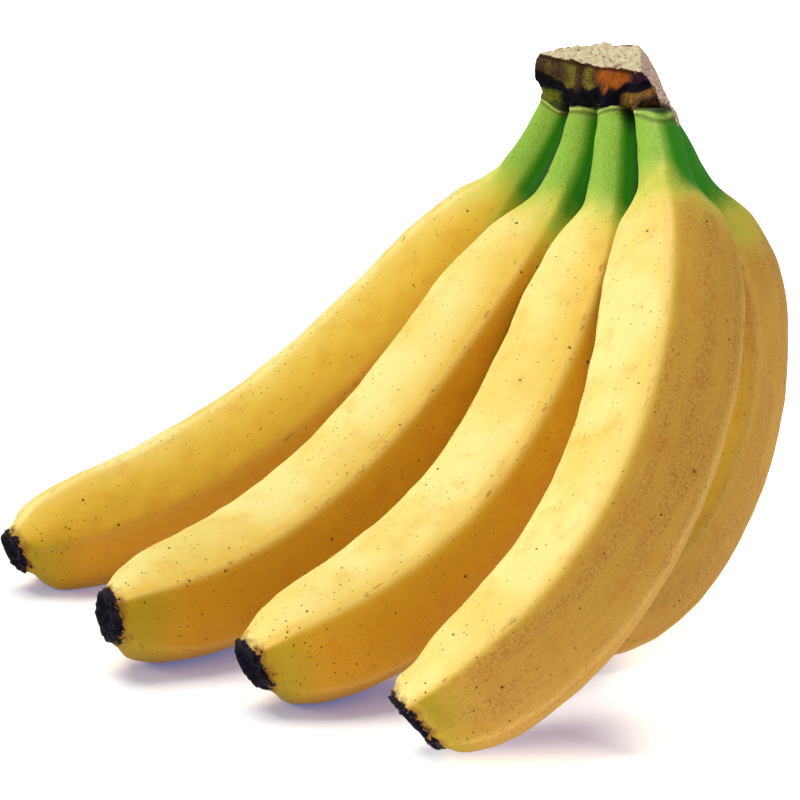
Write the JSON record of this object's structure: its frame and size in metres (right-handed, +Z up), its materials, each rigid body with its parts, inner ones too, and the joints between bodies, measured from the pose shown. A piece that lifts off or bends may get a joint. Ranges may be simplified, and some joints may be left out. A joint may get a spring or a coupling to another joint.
{
  "type": "hand of bananas",
  "caption": "Hand of ripe bananas still joined at its cut crown, a fruit that lies on a table, in a bowl or on a market stall",
  "frame": {"origin": "on the resting plane, under the middle of the hand's bounding box", "axes": "+Z up, +X to the right as the picture shows the hand, -Y towards the viewer; the tips point to -X and -Y"},
  "size_m": [0.2414, 0.2102, 0.1648],
  "materials": {
    "banana_skin": "smooth waxy peel with a soft sheen",
    "crown_rind": "rough, dry and fibrous"
  },
  "bodies": {
    "root": {"crown": "crown_rind", "banana_1": "banana_skin", "banana_2": "banana_skin", "banana_3": "banana_skin", "banana_4": "banana_skin", "banana_5": "banana_skin"}
  },
  "joints": []
}
